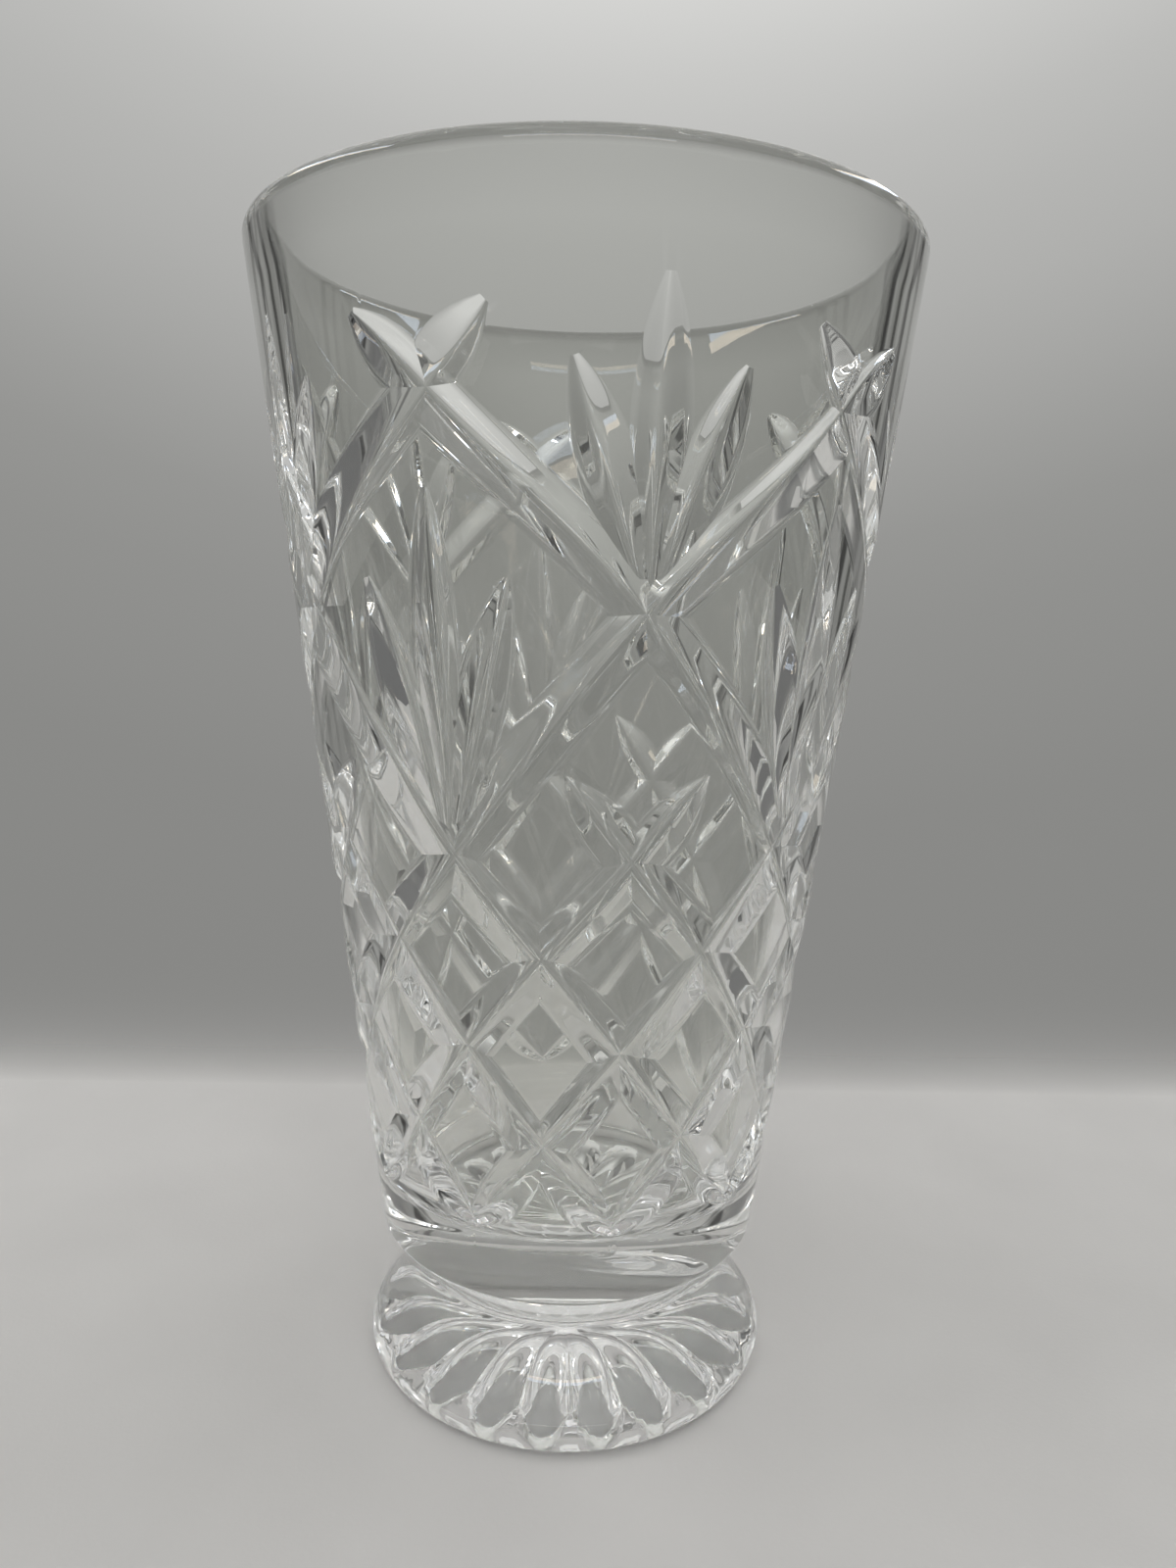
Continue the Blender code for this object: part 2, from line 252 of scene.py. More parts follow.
def spun(name, line, turn, relief, finish):
    """A surface of revolution with a relief: point (i, j) is line point i turned by turn[j] round Z and
    raised by relief(radius, turn). The normal is the cross product of the step along the line and the
    step round the vase."""
    walked = walked_along(line)
    inner = line[1:-1]
    raised = relief(inner[:, :1] / MM, turn[None, :]) * MM
    round_z = np.stack([np.sin(turn), -np.cos(turn)], axis=1)
    height = inner[:, 1:] + raised
    rows = np.dstack([inner[:, :1, None] * round_z[None, :, :], height[:, :, None]])

    radial = np.gradient(line[:, 0], walked)[1:-1, None]
    climb = np.gradient(line[:, 1], walked)[1:-1, None] + np.gradient(raised, walked[1:-1], axis=0)
    gap = (np.roll(turn, -1) - np.roll(turn, 1)) % (2.0 * np.pi)
    swell = (np.roll(raised, -1, axis=1) - np.roll(raised, 1, axis=1)) / gap
    along = np.dstack([radial[:, :, None] * round_z[None, :, :], climb[:, :, None]])
    sideways = np.stack([np.cos(turn), np.sin(turn)], axis=1)
    around = np.dstack([inner[:, :1, None] * sideways[None, :, :], swell[:, :, None]])
    row_normals = np.cross(along, around)
    row_normals /= np.linalg.norm(row_normals, axis=2)[:, :, None]

    count = len(turn)
    poles = np.array([[0.0, 0.0, line[0, 1]], [0.0, 0.0, line[-1, 1]]])
    points = np.vstack([rows.reshape(-1, 3), poles])
    vertex_normals = np.vstack([row_normals.reshape(-1, 3), [[0.0, 0.0, 1.0], [0.0, 0.0, -1.0]]])
    last_row = len(line) - 3
    i, j = np.meshgrid(np.arange(last_row), np.arange(count), indexing="ij")
    k = (j + 1) % count
    quads = np.stack([i * count + j, (i + 1) * count + j, (i + 1) * count + k, i * count + k], axis=2)
    j, k = np.arange(count), (np.arange(count) + 1) % count
    top = np.stack([np.full(count, len(points) - 2), j, k], axis=1)
    last = last_row * count
    bottom = np.stack([last + j, np.full(count, len(points) - 1), last + k], axis=1)
    faces = quads.reshape(-1, 4).tolist() + top.tolist() + bottom.tolist()
    corners = np.concatenate([quads.ravel(), top.ravel(), bottom.ravel()])
    return add_mesh(name, points, faces, vertex_normals[corners], finish)


# %% [markdown]
# ## The star under the foot
#
# The foot is turned over and pressed on a round-edged wheel twenty times. Each bite is a flute: a
# channel from the middle to the edge, deepest half way out because the wheel is round. Neighbours run
# into each other and leave sharp ridges, and seen from above through the glass the flutes become a ring
# of arched petals. The wheel always comes from below, so the star is a height that is added to the
# underside, which keeps its channels smooth and its ridges exactly on the edges of the mesh.

# %% Flutes
FLUTES = 20
FLUTE_DEPTH = 4.0
# A flute starts just past the middle of the foot and ends a little inside the ring that it stands on.
FLUTE_START = -1.0
FLUTE_END = 33.2
WHEEL_EDGE_RADIUS = 4.0
# Where the columns of the mesh stand between the middle of a flute (0) and the ridge beside it (1).
FLUTE_STEPS = np.array([0.0, 0.06, 0.2, 0.4, 0.6, 0.8, 0.95])


def star(radius, turn):
    """How far the wheel has cut. With s the share of the way from FLUTE_START to FLUTE_END, a flute's
    middle is FLUTE_DEPTH times 4 s (1 - s) deep. Beside it the depth falls by the square of the distance
    across over twice the radius of the wheel's edge."""
    half_pitch = np.pi / FLUTES
    off = np.abs((turn / half_pitch + 1.0) % 2.0 - 1.0)
    share = np.clip((radius - FLUTE_START) / (FLUTE_END - FLUTE_START), 0.0, 1.0)
    middle = FLUTE_DEPTH * 4.0 * share * (1.0 - share)
    across = radius * np.tan(off * half_pitch)
    return np.clip(middle - across**2 / (2.0 * WHEEL_EDGE_RADIUS), 0.0, None)


def underside_star(radius, turn):
    """The star on the rows of the underside, and nothing on the others."""
    return star(radius, turn) * (np.arange(len(radius))[:, None] >= underside_row)


# %% The blank with its star
# Every face carries the number of its finish.
BLOWN, WHEEL_CUT, PRESSED, STAR, REST = range(5)
one_flute = np.concatenate([-FLUTE_STEPS[:0:-1], FLUTE_STEPS, [1.0]])
columns = ((2.0 * np.arange(FLUTES)[:, None] + one_flute) * np.pi / FLUTES).ravel()
blank = spun("blank", outline, columns, underside_star, BLOWN)
print("blank:", len(blank.data.polygons), "faces,", len(columns), "columns round the vase")

# %% [markdown]
# ## Cutting
#
# A cutter holds the blank against a spinning wheel with a V-shaped edge. The groove is deepest where the
# wheel bites, and at both ends it runs out in a curve as the round wheel leaves the glass. We make the
# solid that the wheel sweeps, a long wedge, and take it away from the blank with a Boolean. Where two
# wedges meet, the Boolean finds the mitre lines by itself, as the real wheel does.

# %% The section of a ground cut
# A full cut, and the angle between its middle plane and each of its sides.
CUT_DEPTH = 2.9
HALF_ANGLE = np.radians(53.0)
# How far acid polishing has rounded the valley and the edges of a full cut.
VALLEY_ROUND = 1.0
EDGE_ROUND = 0.55
# A cut shallower than FAINTEST_CUT leaves no mark. The cutter goes GRAZE deeper than its formula says,
# so no two surfaces only touch where it leaves the glass, and its lid stands LIFT above the wall.
FAINTEST_CUT = 0.05
GRAZE = 0.01
LIFT = 0.8
# Where the stations of a section stand: as shares of the valley, and as shares of the way from the
# shoulder, where the side begins to round over, to the edge. The lid is BESIDE_EDGE wider at each side.
VALLEY_STATIONS = np.array([0.2, 0.5, 1.0])
SHOULDER_STATIONS = np.array([0.0, 0.33, 0.67, 1.0])
BESIDE_EDGE = 0.3


def unit(vectors):
    """Each vector divided by its own length."""
    return vectors / np.linalg.norm(vectors, axis=-1, keepdims=True)


def section_depth(across, deepest, half_angle):
    """How far below the uncut surface a cut lies: the deepest point less the distance across over
    tan(half angle). The root of a sum of squares rounds the valley. Near the surface the depth fades as
    a parabola, so the edge that polishing leaves is round as well. Both roundings shrink with the
    depth, so the ends of a cut stay pointed."""
    share = deepest / CUT_DEPTH
    edge_round = EDGE_ROUND * share
    straight = deepest - np.hypot(across, VALLEY_ROUND * share) / np.tan(half_angle)
    fading = np.clip(straight + edge_round, 0.0, None) ** 2 / (4.0 * edge_round)
    return np.where(straight > edge_round, straight, fading)


def section_stations(deepest, half_angle):
    """Distances across a cut, one row for each deepest point: close together in the valley and at both
    edges, and none on the sides between. The valley takes two and a half times its rounding but at most
    0.4 of the half width, and the shoulder lies at least half way out. The last pair lies just outside
    the edges."""
    valley_round = VALLEY_ROUND * deepest / CUT_DEPTH
    edge_round = EDGE_ROUND * deepest / CUT_DEPTH
    edge = np.sqrt(((deepest + edge_round) * np.tan(half_angle)) ** 2 - valley_round**2)
    valley = np.minimum(2.5 * valley_round, 0.4 * edge)
    shoulder = np.maximum((deepest - edge_round) * np.tan(half_angle), 0.5 * edge)
    inner = valley[:, None] * VALLEY_STATIONS
    outer = shoulder[:, None] + (edge - shoulder)[:, None] * SHOULDER_STATIONS
    half = np.hstack([inner, outer, edge[:, None] + BESIDE_EDGE])
    return np.hstack([-half[:, ::-1], np.zeros((len(half), 1)), half])


full_width = 2.0 * section_stations(np.array([CUT_DEPTH]), HALF_ANGLE)[0, -2]
print("a full cut is", round(float(full_width), 1), "mm wide and", CUT_DEPTH, "mm deep")


# %% The solid that a wheel sweeps
# How far to each side, in millimetres, the slope across a cut is measured.
NUDGE = 0.002


def swept_cut(name, surface, deepest, half_angle, collection):
    """The section carried along a path. surface(across) gives the points of the uncut surface at those
    distances across the path, and the outward normals there. The cut's own normal is the cross product
    of the step along the path and the step across it."""
    across = section_stations(deepest, half_angle)
    depth = section_depth(across, deepest[:, None], half_angle) + GRAZE
    depth[:, [0, -1]] = -LIFT
    base, outward = surface(across)
    points = (base - outward * depth[:, :, None]) * MM

    there, there_out = surface(across + NUDGE)
    here, here_out = surface(across - NUDGE)
    there_depth = section_depth(across + NUDGE, deepest[:, None], half_angle)
    here_depth = section_depth(across - NUDGE, deepest[:, None], half_angle)
    there = there - there_out * there_depth[:, :, None]
    here = here - here_out * here_depth[:, :, None]
    ground = unit(np.cross(np.gradient(points, axis=0), there - here))
    ground[:, [0, -1]] = ground[:, [1, -2]]

    count, width = across.shape
    i, j = np.meshgrid(np.arange(count - 1), np.arange(width), indexing="ij")
    k = (j + 1) % width
    quads = np.stack([i * width + j, i * width + k, (i + 1) * width + k, (i + 1) * width + j], axis=2)
    caps = [np.arange(width)[::-1], np.arange(width) + (count - 1) * width]
    faces = quads.reshape(-1, 4).tolist() + [cap.tolist() for cap in caps]
    corners = np.concatenate([quads.ravel(), *caps])
    cutter = add_mesh(name, points.reshape(-1, 3), faces, ground.reshape(-1, 3)[corners], WHEEL_CUT)
    bpy.context.scene.collection.objects.unlink(cutter)
    collection.objects.link(cutter)


# %% [markdown]
# The wall is a cone, so a path on it is a list of azimuths and heights. The wheel cuts square to the
# wall, and the distance across a cut is laid off along the wall at right angles to the path.

# %% Paths on the wall
WALL_SLOPE = (RIM_RADIUS - EDGE_RADIUS) / (NOMINAL_HEIGHT - EDGE_HEIGHT)
WALL_LEAN = np.arctan(WALL_SLOPE)


def on_wall(azimuth, height):
    """Points on the cone, and the outward normals there, which lean down by the wall's slope."""
    radius = wall_radius(height)
    points = np.stack([np.sin(azimuth) * radius, -np.cos(azimuth) * radius, height], axis=-1)
    lean = np.full_like(azimuth, -WALL_SLOPE)
    return points, unit(np.stack([np.sin(azimuth), -np.cos(azimuth), lean], axis=-1))


def beside(azimuth, height):
    """The wall beside a path: a distance across is laid off at right angles to the path, partly round
    the vase and partly up its wall."""
    radius = wall_radius(height)
    round_step = radius * np.gradient(azimuth)
    upward_step = np.gradient(height) / np.cos(WALL_LEAN)
    heading = unit(np.stack([round_step, upward_step], axis=1))
    turn = (-heading[:, 1] / radius)[:, None]
    climb = (heading[:, 0] * np.cos(WALL_LEAN))[:, None]

    def surface(across):
        return on_wall(azimuth[:, None] + across * turn, height[:, None] + across * climb)

    return surface


def reached(deepest):
    """True where the wheel bites deep enough to leave a mark."""
    return deepest > FAINTEST_CUT


print("the wall leans out by", round(float(np.degrees(WALL_LEAN)), 1), "degrees")


# %% One groove
# The length over which the wheel leaves the glass, and how much of each end of a path it doesn't touch.
RUN_OUT = 12.0
OVERRUN = 0.7


def cut_groove(name, azimuth, height, collection):
    """One groove of full depth. Over RUN_OUT at each end its depth falls as a parabola, as a round
    wheel leaves the glass."""
    points, _ = on_wall(azimuth, height)
    walked = walked_along(points)
    to_end = np.minimum(np.minimum(walked, walked[-1] - walked) - OVERRUN, RUN_OUT)
    deepest = CUT_DEPTH * (1.0 - (1.0 - to_end / RUN_OUT) ** 2)
    in_glass = reached(deepest)
    surface = beside(azimuth[in_glass], height[in_glass])
    swept_cut(name, surface, deepest[in_glass], HALF_ANGLE, collection)


# %% [markdown]
# The pattern repeats five times round the vase. Long grooves lean right and left, cross high up, cross
# again in the middle and go on down as a lattice of diamonds. Short grooves start under each middle
# crossing and fill in the lattice. Each groove is one smooth curve through the places where it crosses
# the others, which keeps the crossings in level rows.

# %% Long and short grooves
REPEATS = 5
PITCH = 2.0 * np.pi / REPEATS
# Each groove passes through these turns round the vase, in degrees, at these heights.
LONG_TURNS = (-110.5, -108.0, -90.0, -72.0, -54.0, -36.0, 0.0, 36.0, 47.8)
LONG_HEIGHTS = (40.4, 41.6, 56.0, 72.6, 88.9, 104.8, 141.8, 172.0, 183.0)
SHORT_TURNS = (-74.5, -72.0, -54.0, -36.0, -18.0, 0.0, 13.4)
SHORT_HEIGHTS = (40.4, 41.6, 56.0, 72.6, 88.9, 104.8, 118.9)
GROOVES = (("long", LONG_TURNS, LONG_HEIGHTS), ("short", SHORT_TURNS, SHORT_HEIGHTS))
# Each path goes on for this many degrees past its last places, to make up for OVERRUN.
PAST_END = 0.6
GROOVE_STATIONS = 110

bowl_cutters = bpy.data.collections.new("bowl_cutters")
for kind, turns, heights in GROOVES:
    turn = np.linspace(turns[0] - PAST_END, turns[-1] + PAST_END, GROOVE_STATIONS)
    height = smooth_through(turn, turns, heights)
    for repeat in range(REPEATS):
        for hand in (1.0, -1.0):
            azimuth = repeat * PITCH + hand * np.radians(turn)
            cut_groove(f"{kind}_groove", azimuth, height, bowl_cutters)

# %% [markdown]
# Above each crossing stands a fan of three leaves. A leaf is one short bite of the wheel, so its outline
# is a long lens: pointed at the tip, widest a little above its middle, and narrow where it springs.

# %% Leaves
LEAF_STATIONS = 34
LEAF_ENDS = 0.001
# Below 1, this moves the widest place of a leaf towards its tip.
LEAF_POWER = 0.9


def cut_leaf(name, root, tip, collection):
    """A leaf from root to tip, both (azimuth, height). With s the share of the way from the tip to the
    power LEAF_POWER, its depth is the full depth times 4 s (1 - s)."""
    share = np.linspace(LEAF_ENDS, 1.0 - LEAF_ENDS, LEAF_STATIONS)
    s = share**LEAF_POWER
    deepest = CUT_DEPTH * 4.0 * s * (1.0 - s)
    in_glass = reached(deepest)
    azimuth = (tip[0] + (root[0] - tip[0]) * share)[in_glass]
    height = (tip[1] + (root[1] - tip[1]) * share)[in_glass]
    swept_cut(name, beside(azimuth, height), deepest[in_glass], HALF_ANGLE, collection)


# For each tier of fans: its name, how far round the first one stands, the height where its leaves
# spring, the height of the middle tip, the height of the side tips and their distance in degrees.
FANS = (
    ("upper", 0.0, 142.0, 187.3, 176.4, 13.2),
    ("lower", PITCH / 2.0, 104.6, 160.6, 148.0, 13.7),
)
for name, offset, root, tip, side_tip, spread in FANS:
    for repeat in range(REPEATS):
        middle = repeat * PITCH + offset
        cut_leaf(f"{name}_leaf", (middle, root), (middle, tip), bowl_cutters)
        for hand in (1.0, -1.0):
            outer = middle + hand * np.radians(spread)
            cut_leaf(f"{name}_side_leaf", (middle, root), (outer, side_tip), bowl_cutters)

# %% [markdown]
# The Manifold solver of the Boolean modifier takes a second for all of it, and it carries the "ground"
# normals and the finish numbers across. We keep its result as a plain mesh, remove the cutters, and
# hand the normals to Blender.

# %% Grinding
grinding = blank.modifiers.new("grinding", "BOOLEAN")
grinding.operation = "DIFFERENCE"
grinding.operand_type = "COLLECTION"
grinding.collection = bowl_cutters
grinding.solver = "MANIFOLD"
evaluated = blank.evaluated_get(bpy.context.evaluated_depsgraph_get())
ground_mesh = bpy.data.meshes.new_from_object(evaluated)
vase = bpy.data.objects.new("cut_crystal_vase", ground_mesh)
bpy.context.scene.collection.objects.link(vase)
for piece in [blank, *bowl_cutters.objects]:
    bpy.data.objects.remove(piece)
bpy.data.collections.remove(bowl_cutters)

normals = np.zeros(3 * len(ground_mesh.loops), np.float32)
ground_mesh.attributes["ground"].data.foreach_get("vector", normals)
ground_mesh.polygons.foreach_set("use_smooth", np.ones(len(ground_mesh.polygons), bool))
ground_mesh.normals_split_custom_set(unit(normals.reshape(-1, 3)))
ground_mesh.attributes.remove(ground_mesh.attributes["ground"])
ground_mesh.calc_loop_triangles()
print("vase:", len(ground_mesh.vertices), "points,", len(ground_mesh.loop_triangles), "triangles")

# %% [markdown]
# ## Crystal
#
# Lead crystal is clear and almost colourless, with an index of refraction of about 1.545. What the eye
# sees in it is its surroundings, bent by the surface, so the finish of each surface matters more than
# any colour. Three hands have worked on this glass: the blower, whose fire-polished wall is smooth but
# never perfectly even, the cutter, whose facets were dipped in acid to clear them, and the finisher, who
# ground the ring that the foot stands on and left it matt.

# %% Small helpers for materials
def linear(code):
    """An sRGB hex code as linear RGB: each channel c is c / 12.92 below 0.04045, and otherwise
    ((c + 0.055) / 1.055) to the power 2.4."""
    value = np.array([int(code[k : k + 2], 16) / 255.0 for k in (1, 3, 5)])
    low, high = value / 12.92, ((value + 0.055) / 1.055) ** 2.4
    return (*np.where(value <= 0.04045, low, high).tolist(), 1.0)


def add_node(tree, kind, settings=None, **inputs):
    """Adds a node. settings are its own properties. inputs are sockets by name, with underscores for
    spaces, or by place, as i0 for the first. Each takes a value, or a socket to link from."""
    node = tree.nodes.new(kind)
    for name, value in (settings or {}).items():
        setattr(node, name, value)
    for name, value in inputs.items():
        by_place = name[1:].isdigit()
        socket = node.inputs[int(name[1:]) if by_place else name.replace("_", " ")]
        if isinstance(value, bpy.types.NodeSocket):
            tree.links.new(value, socket)
        else:
            socket.default_value = value
    return node


def add_ramp(tree, factor, stops):
    """A colour ramp through (place, hex colour) stops."""
    ramp = add_node(tree, "ShaderNodeValToRGB", Fac=factor)
    while len(ramp.color_ramp.elements) < len(stops):
        ramp.color_ramp.elements.new(0.5)
    for element, (place, colour) in zip(ramp.color_ramp.elements, stops):
        element.position = place
        element.color = linear(colour)
    return ramp.outputs["Color"]


def noise(tree, where, size, detail):
    """Cloudy values from 0 to 1 that change over size millimetres, placed in the object's own space."""
    scale = 1.0 / (size * MM)
    place = where.outputs["Object"]
    return add_node(tree, "ShaderNodeTexNoise", Vector=place, Scale=scale, Detail=detail).outputs["Fac"]


def bump(tree, relief, height):
    """The normals of a surface on which a relief from 0 to 1 stands height millimetres high."""
    distance = height * MM
    raised = add_node(tree, "ShaderNodeBump", Height=relief, Strength=1.0, Distance=distance)
    return raised.outputs["Normal"]


print("#808080 in linear light is", round(linear("#808080")[0], 3))


# %% Finishes of lead crystal
CRYSTAL_INDEX = 1.545
RIPPLE_DETAIL = 1.0


def crystal(name, colour, roughness, ripple_size, ripple_height):
    """Clear glass whose surface has faint ripples. ripple_size is the distance from one ripple to the
    next and ripple_height is how high they stand, both in millimetres."""
    material = bpy.data.materials.new(name)
    material.use_nodes = True
    tree = material.node_tree
    tree.nodes.clear()
    where = add_node(tree, "ShaderNodeTexCoord")
    ripples = noise(tree, where, ripple_size, RIPPLE_DETAIL)
    glass = add_node(
        tree,
        "ShaderNodeBsdfPrincipled",
        Base_Color=linear(colour),
        Roughness=roughness,
        IOR=CRYSTAL_INDEX,
        Transmission_Weight=1.0,
        Normal=bump(tree, ripples, ripple_height),
    )
    add_node(tree, "ShaderNodeOutputMaterial", Surface=glass.outputs[0])
    return material


# For each finish: its name, tint, roughness, ripple size and ripple height. The order follows BLOWN,
# WHEEL_CUT, PRESSED, STAR and REST. The faint tint is that of the whole path through the glass, laid on
# its two skins.
FINISHES = (
    # Blown and fire-polished: long low ripples make straight lines behind it waver a little. Its tint is
    # the deepest, since light crosses the front and the back wall.
    ("lead_crystal_blown_fire_polished", "#F3F4F1", 0.0, 16.0, 0.03),
    # Cut and dipped in acid: crisp facets, each very slightly dimpled, so its glint has a soft edge.
    ("lead_crystal_wheel_cut_acid_polished", "#FBFCFA", 0.0, 3.0, 0.003),
    # Pressed in a mould and fire-polished: the flare of the foot, even and very bright.
    ("lead_crystal_pressed_fire_polished", "#FFFFFF", 0.0, 10.0, 0.02),
    # The acid polish again, inside the round channels of the star.
    ("lead_crystal_star_acid_polished", "#F8FAF9", 0.0, 2.5, 0.03),
    # Ground on a flat iron plate with wet grit: matt, with scratches drawn a little coarser than real.
    ("lead_crystal_ground_matt", "#F4F6F5", 0.35, 0.6, 0.01),
)

# %% [markdown]
# The Boolean kept a finish number on every face, so each cut already knows that a wheel made it. The
# foot and the lower edge of the bowl came out of a mould, the underside belongs to the star, and the
# narrow ring that lies on the table is the ground one.

# %% A finish for every face
# Faces whose middle lies lower than this belong to the ground ring.
GROUND_HEIGHT = 0.06

finish = np.zeros(len(ground_mesh.polygons), np.int32)
ground_mesh.attributes["finish"].data.foreach_get("value", finish)
centres = np.zeros(3 * len(finish), np.float32)
ground_mesh.polygons.foreach_get("center", centres)
centres = centres.reshape(-1, 3) / MM
out_from_middle = np.hypot(centres[:, 0], centres[:, 1])
finish[(finish == BLOWN) & (centres[:, 2] < EDGE_HEIGHT)] = PRESSED
finish[(centres[:, 2] < FLUTE_DEPTH + HOLLOW) & (out_from_middle < REST_RADIUS)] = STAR
finish[centres[:, 2] < GROUND_HEIGHT] = REST

ground_mesh.materials.clear()
for name, colour, roughness, ripple_size, ripple_height in FINISHES:
    ground_mesh.materials.append(crystal(name, colour, roughness, ripple_size, ripple_height))
ground_mesh.polygons.foreach_set("material_index", finish)
ground_mesh.attributes.remove(ground_mesh.attributes["finish"])
print("faces of each finish:", np.bincount(finish, minlength=len(FINISHES)).tolist())

# %% [markdown]
# The single body of glass stands for all three solids of the CAD model: the bowl, the joining wafer and
# the foot. It rides on the root body, since nothing in a vase moves.

# %% Handing the piece over
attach(vase, "root")
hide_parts("bowl", "joining_wafer", "foot")
print(vase.name, "has", len(vase.data.materials), "finishes")

# %% [markdown]
# ## Camera
#
# The vase is seen from close by, from a point a little below its rim, so the near rim arches upwards and
# the far rim is seen through the wall. The camera's place is given as an azimuth, a distance and a
# height, and it is tilted down to bring the foot into view.

# %% Camera
# The camera's place, in degrees and millimetres, and then how it is turned there, in degrees.
CAMERA_AZIMUTH = -11.3
CAMERA_DISTANCE = 205.4
CAMERA_HEIGHT = 143.0
CAMERA_YAW = -0.62
CAMERA_TILT = -9.1
CAMERA_ROLL = 1.25
# A wide lens on a full-frame sensor, as close work with a small camera gives.
LENS, SENSOR = 25.4, 36.0
NEAREST_SEEN = 0.01

away = np.radians(CAMERA_AZIMUTH)
camera_place = np.array([np.sin(away), -np.cos(away), 0.0]) * CAMERA_DISTANCE
camera_place[2] = CAMERA_HEIGHT
camera_data = bpy.data.cameras.new("camera")
camera_data.lens = LENS
camera_data.sensor_width = SENSOR
camera_data.clip_start = NEAREST_SEEN
camera = bpy.data.objects.new("camera", camera_data)
camera.matrix_world = (
    Matrix.Translation(camera_place * MM)
    @ Matrix.Rotation(np.radians(CAMERA_AZIMUTH + CAMERA_YAW), 4, "Z")
    @ Matrix.Rotation(np.radians(90.0 + CAMERA_TILT), 4, "X")
    @ Matrix.Rotation(np.radians(CAMERA_ROLL), 4, "Z")
)
bpy.context.scene.collection.objects.link(camera)
bpy.context.scene.camera = camera
print("camera at", tuple(round(v, 4) for v in camera.location))

# %% [markdown]
# ## Table
#
# The vase stands on a sheet of matt white paper, a fraction of a millimetre below its ground ring. That
# gap is what real glass has too: the two surfaces touch only at grains of grit, so a film of air stays
# between them, and light still leaves the glass. The paper's tone drifts a little from place to place,
# and its fibres give it tooth. Both are drawn coarser than real ones, which would be too fine to show.

# %% Table
# The stage is turned by STAGE_TURN degrees to face the camera. The paper reaches TABLE_REACH to the
# front and to each side. At the back it starts to fade at TABLE_BACK and ends FADE_LENGTHS times
# TABLE_FADE later, where nothing is left of it.
STAGE_TURN = -10.9
TABLE_DROP = 0.08
TABLE_REACH = 900.0
TABLE_BACK = 109.0
TABLE_FADE = 22.0
FADE_LENGTHS = 8.0
# The drift in tone, the fibres that stand out of the paper, and how matt it is.
CLOUD_SIZE = 40.0
CLOUD_STOPS = ((0.3, "#E2E1DF"), (0.7, "#E6E5E3"))
FIBRE_SIZE = 0.9
FIBRE_HEIGHT = 0.02
PAPER_DETAIL = 2.0
PAPER_ROUGHNESS = 0.6


def matt_white_paper():
    """Paper that fades away towards the back: past TABLE_BACK its cover falls as
    exp(-distance / TABLE_FADE)."""
    material = bpy.data.materials.new("matt_white_paper")
    material.use_nodes = True
    tree = material.node_tree
    tree.nodes.clear()
    where = add_node(tree, "ShaderNodeTexCoord")
    tone = add_ramp(tree, noise(tree, where, CLOUD_SIZE, PAPER_DETAIL), CLOUD_STOPS)
    tooth = bump(tree, noise(tree, where, FIBRE_SIZE, PAPER_DETAIL), FIBRE_HEIGHT)
    paper = add_node(tree, "ShaderNodeBsdfDiffuse", Color=tone, Roughness=PAPER_ROUGHNESS, Normal=tooth)
    back = add_node(tree, "ShaderNodeSeparateXYZ", Vector=where.outputs["Object"]).outputs["Y"]
    past = add_node(tree, "ShaderNodeMath", {"operation": "SUBTRACT"}, i0=back, i1=TABLE_BACK * MM)
    lengths = add_node(
        tree, "ShaderNodeMath", {"operation": "DIVIDE"}, i0=past.outputs[0], i1=-TABLE_FADE * MM
    )
    cover = add_node(
        tree, "ShaderNodeMath", {"operation": "EXPONENT", "use_clamp": True}, i0=lengths.outputs[0]
    )
    clear = add_node(tree, "ShaderNodeBsdfTransparent")
    shown = add_node(
        tree, "ShaderNodeMixShader", Fac=cover.outputs[0], i1=clear.outputs[0], i2=paper.outputs[0]
    )
    add_node(tree, "ShaderNodeOutputMaterial", Surface=shown.outputs[0])
    return material


def add_table():
    """A sheet that lies flat and fades into the backdrop behind the vase, as a curved sweep does."""
    reach, far = TABLE_REACH * MM, (TABLE_BACK + FADE_LENGTHS * TABLE_FADE) * MM
    corners = [(-reach, -reach, 0.0), (reach, -reach, 0.0), (reach, far, 0.0), (-reach, far, 0.0)]
    mesh = bpy.data.meshes.new("table")
    mesh.from_pydata(corners, [], [(0, 1, 2, 3)])
    table = bpy.data.objects.new("table", mesh)
    table.location.z = -TABLE_DROP * MM
    table.rotation_euler.z = np.radians(STAGE_TURN)
    bpy.context.scene.collection.objects.link(table)
    mesh.materials.append(matt_white_paper())
    return table


table = add_table()
print(table.name, "lies", TABLE_DROP, "mm below the vase and fades from", TABLE_BACK, "mm behind it")

# %% [markdown]
# ## Room light
#
# Glass is a picture of its room, so the room is designed as a photographer would do it. Behind the vase
# stands a pale wall, lit from above so that it darkens towards the table. The rest of the room is a
# middle grey that grows lighter overhead. At each side, just out of view, stand three narrow dark cards:
# bent by the thick wall, they draw the thin dark lines that make a glass edge readable.

